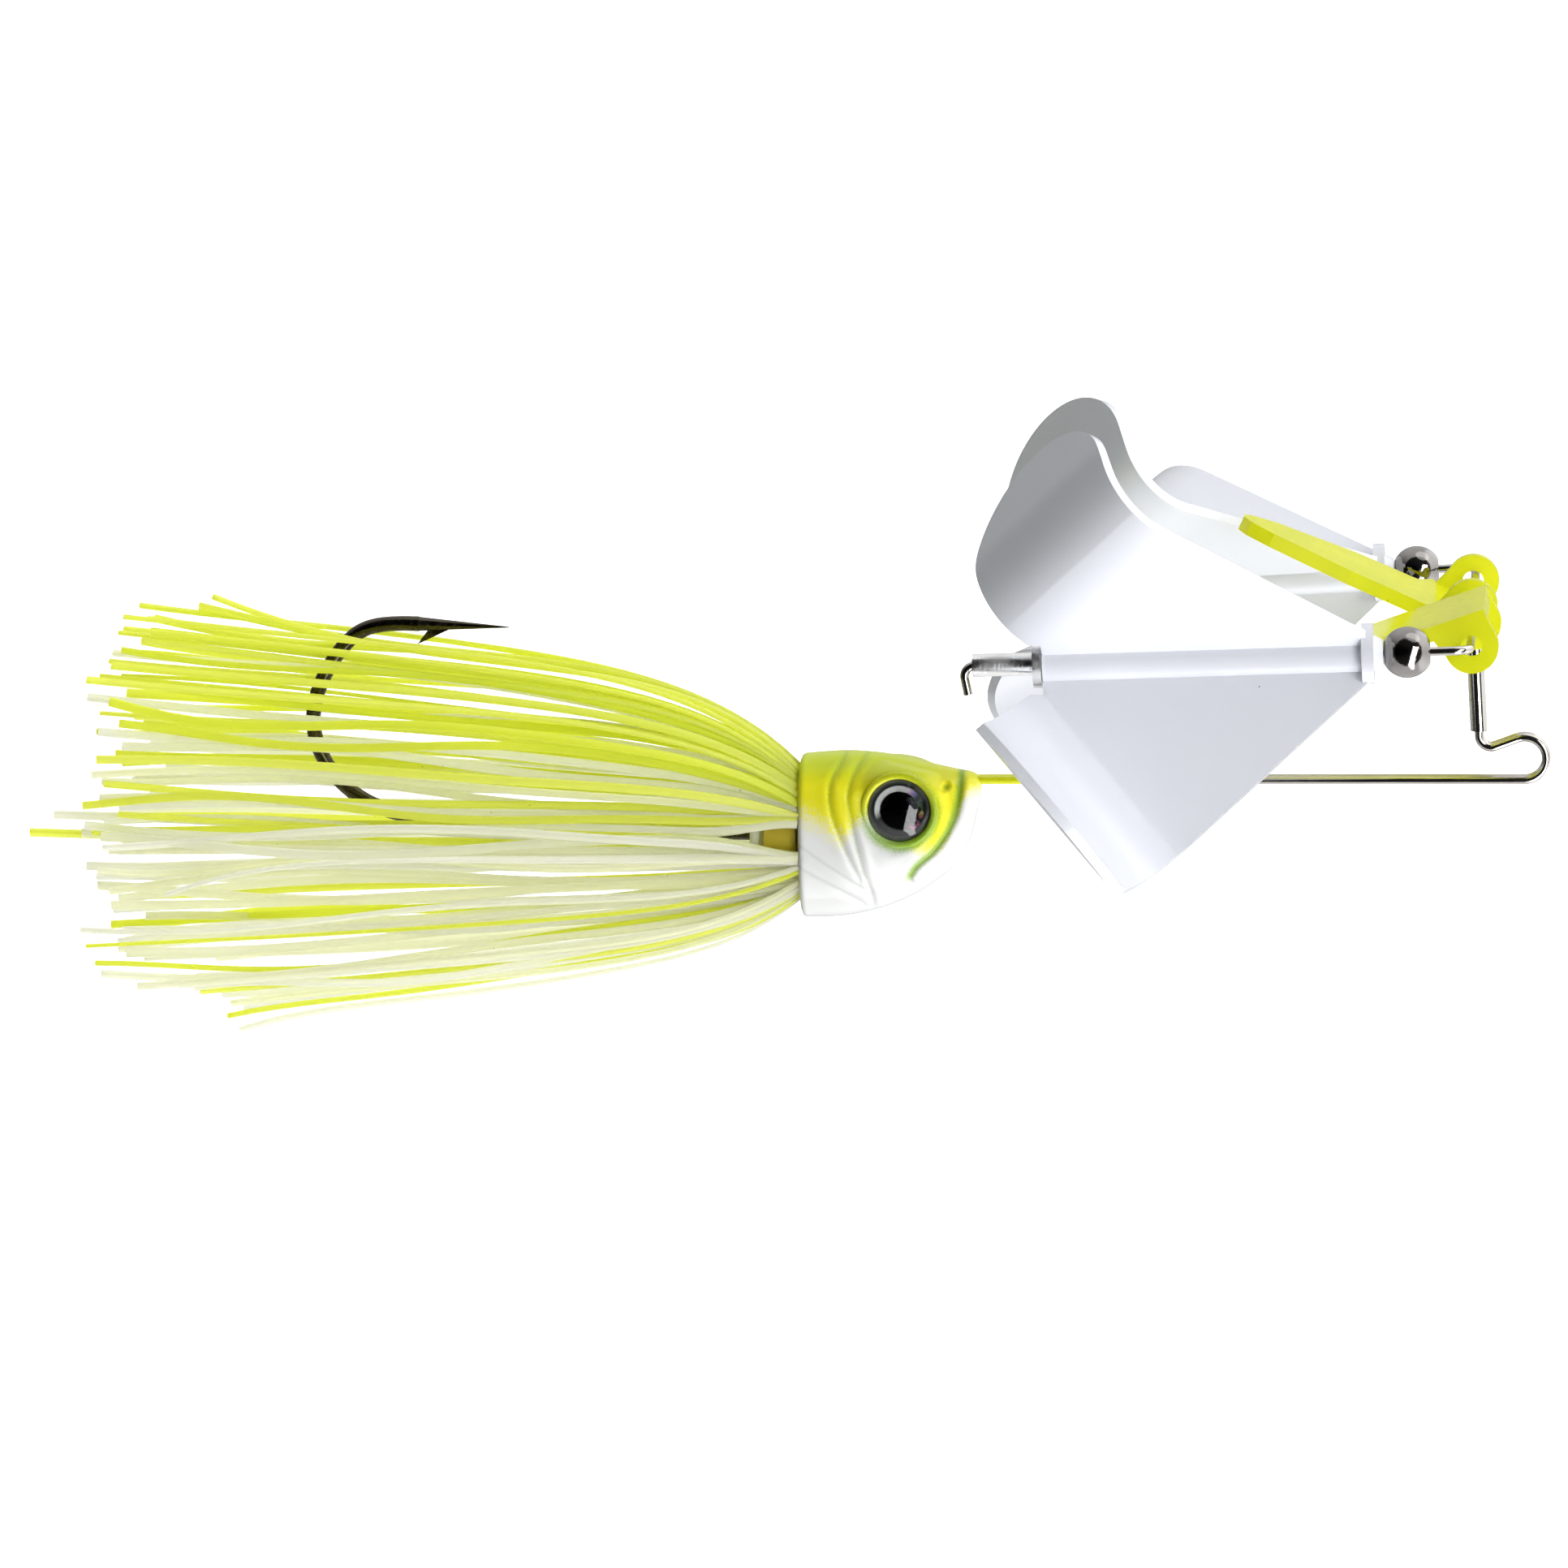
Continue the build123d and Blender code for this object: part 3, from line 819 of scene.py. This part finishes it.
def strand_tips(rng, count):
    """Tip places of one side's strands, spread evenly up the skirt."""
    reach_z, reach_x = zip(*SKIRT_REACH)
    tips = []
    for i in range(count):
        z = TIP_LOWEST_Z + TIP_RISE * (i + rng.uniform(0, 1)) / count
        level = min(1.0, abs(z - TIP_CENTRE_Z) / TIP_HALF[1])
        y = TIP_HALF[0] * math.sqrt(1 - level**2) * rng.uniform(0.25, 1.0) + 1.0
        x = float(np.interp(z, reach_z, reach_x)) + rng.normal(1.0, 1.6)
        tips.append((max(x, TIP_LIMIT_X), y, z))
    return tips


def plan_strands(name, rng):
    """Tip, kick and tone of one side's strands, by colour; whiter towards the bottom."""
    groups = {"chartreuse": [], "white": []}
    for tip, kick, color in PLACED_STRANDS[name]:
        groups[color].append((tip, kick, rng.uniform(0.2, 0.6)))
    for tip in strand_tips(rng, STRANDS[name]):
        white = np.clip(0.14 + (6.5 - tip[2]) / 26.0, 0.14, 0.84)
        color = "white" if rng.uniform() < white else "chartreuse"
        groups[color].append((tip, 0.0, rng.uniform(0, 1) ** 1.5))
    return groups


def build_strands(name, strands, side, look, rng):
    """One mesh of strands, each with its own tone."""
    points, faces, tones = [], [], []
    for tip, kick, tone in strands:
        some, quads = strand_mesh(strand_line(tip, kick, side, rng), rng)
        start = len(tones)
        points.append(some)
        faces += [tuple(start + i for i in face) for face in quads]
        tones += [tone] * len(some)
    piece = mesh_object(name, np.vstack(points), faces, [look])
    add_values(piece, "tone", tones)
    piece.data.set_sharp_from_angle(angle=math.radians(60))
    return piece


def build_skirt():
    """Strands of each colour and side, in place of the four CAD bundles."""
    looks = {color: silicone("skirt_" + color, *tones) for color, tones in SILICONE.items()}
    rng = np.random.default_rng(11)
    for name, side in SIDES.items():
        for color, strands in plan_strands(name, rng).items():
            piece = build_strands(f"strands_{color}_{name}", strands, side, looks[color], rng)
            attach(piece, "lure")
            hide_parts(BUNDLES[color] + name)


# ------------------------------------------------------------------ stage, view

def build_stage():
    """Pale floor, the surroundings that light the lure, and a weak broad sun.

    The floor shows to the camera but not in reflections or bounced light: the
    surroundings carry on below it and light the lure from there too.
    """
    look = Look("floor_pale", (0.93, 0.93, 0.93), 0.9)
    look.drive("Base Color", look.mix(look.noise(3), (0.95, 0.95, 0.95), (0.93, 0.93, 0.93)))
    look.drive("Emission Color", (1.0, 1.0, 1.0))
    look.drive("Emission Strength", 0.65)
    turns = ((-1, -1), (1, -1), (1, 1), (-1, 1))
    corners = [(x * FLOOR_REACH, y * FLOOR_REACH, FLOOR_Z) for x, y in turns]
    floor = mesh_object("floor", corners, [(0, 1, 2, 3)], [look.material])
    floor.visible_glossy = False
    floor.visible_diffuse = False
    build_surroundings()
    sun = bpy.data.objects.new("overhead", bpy.data.lights.new("overhead", "SUN"))
    bpy.context.scene.collection.objects.link(sun)
    sun.rotation_euler = Vector(SUN_WAY).to_track_quat("-Z", "Y").to_euler()
    sun.data.energy = 0.5
    sun.data.angle = math.radians(50)


def build_surroundings():
    """Soft light from above, below and the right, dark on the photograph's side.

    One bright leaning window stands on that dark side.
    """
    world = bpy.data.worlds.new("studio")
    bpy.context.scene.world = world
    world.use_nodes = True
    graph = Graph(world.node_tree)
    direction = graph.node("TexCoord").outputs["Generated"]
    right, up, ahead = view_axes()
    strength = graph.fit(graph.dot(direction, DIM_SIDE), 0.0, 0.85, 0.50, 0.09)
    for axis, start, full, gain in LOBES:
        lobe = graph.fit(graph.dot(direction, axis), start, full, 0.0, gain)
        strength = graph.math("ADD", strength, lobe)
    near = graph.dot(direction, -ahead)
    strength = graph.math("MULTIPLY", strength, graph.fit(near, 0.34, 0.46, 1.0, 0.04))
    window = graph.fit(near, 0.0, 0.05, 0.0, WINDOW_GAIN)
    across, rise = WINDOW_LEAN
    long_axis = -across * right - rise * up
    short_axis = rise * right - across * up
    for axis, (middle, half) in ((long_axis, WINDOW_LONG), (short_axis, WINDOW_SHORT)):
        offset = graph.math("SUBTRACT", graph.dot(direction, axis), middle)
        offset = graph.math("ABSOLUTE", offset)
        inside = graph.fit(offset, half, half + WINDOW_EDGE, 1.0, 0.0)
        window = graph.math("MULTIPLY", window, inside)
    background = world.node_tree.nodes["Background"]
    graph.feed(background.inputs["Strength"], graph.math("ADD", strength, window))
    graph.feed(background.inputs["Color"], (0.99, 0.99, 1.0))


def view_axes():
    """Right, up and ahead of the camera: a little above, a little in front of the near side."""
    elevation, swing = math.radians(VIEW_ELEVATION), math.radians(VIEW_SWING)
    flat = math.cos(elevation)
    ahead = Vector((-math.sin(swing) * flat, math.cos(swing) * flat, -math.sin(elevation)))
    tow = Vector((1, 0, 0))
    right = (tow - ahead * tow.dot(ahead)).normalized()
    return right, right.cross(ahead), ahead


def build_camera():
    """Long lens from the near side, with the tow line level in the picture."""
    right, up, ahead = view_axes()
    camera = bpy.data.objects.new("camera", bpy.data.cameras.new("camera"))
    bpy.context.scene.collection.objects.link(camera)
    turn = Matrix((right, up, -ahead)).transposed().to_4x4()
    place = Vector(VIEW_TARGET) * MM - ahead * VIEW_DISTANCE
    camera.matrix_world = Matrix.Translation(place) @ turn
    camera.data.sensor_width = 36
    camera.data.lens = VIEW_LENS
    camera.data.clip_start, camera.data.clip_end = 0.05, 50
    bpy.context.scene.camera = camera


# --------------------------------------------------------------------- assembly

def dress(node, material):
    """Give a CAD node its material."""
    node.data.materials.clear()
    node.data.materials.append(material)


def round_rims(node):
    """Soften the edges of a moulded sheet."""
    rims = node.modifiers.new("rims", "BEVEL")
    rims.width = 0.2 * MM
    rims.segments = 2
    rims.limit_method = "ANGLE"
    rims.angle_limit = math.radians(50)


def dress_nodes(nodes):
    """Give every CAD node that stays in view its material."""
    dress(nodes["hook"], black_nickel())
    dress(nodes["skirt_band"], amber_rubber())
    dress(nodes["sleeve"], mirror_metal("sleeve_steel", (0.58, 0.56, 0.52), 0.08, 0.15))
    paired = {
        "wire_": steel_wire(),
        "blade_": blade_plastic(),
        "clacker_": clacker_plastic(),
        "bead_": mirror_metal("bead_plating", (0.28, 0.267, 0.255), 0.04, 0.28),
        "rivet_": bare_aluminium(),
        "eye_iris_": foil_iris(),
        "eye_pupil_": gloss_black(),
        "eye_lens_": clear_dome(),
    }
    for name in SIDES:
        for kind, material in paired.items():
            dress(nodes[kind + name], material)
        round_rims(nodes["blade_" + name])


def main():
    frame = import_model()
    bpy.context.scene.view_settings.view_transform = "Standard"
    dress_nodes(frame["nodes"])
    build_head_pieces()
    build_skirt()
    build_stage()
    build_camera()


main()
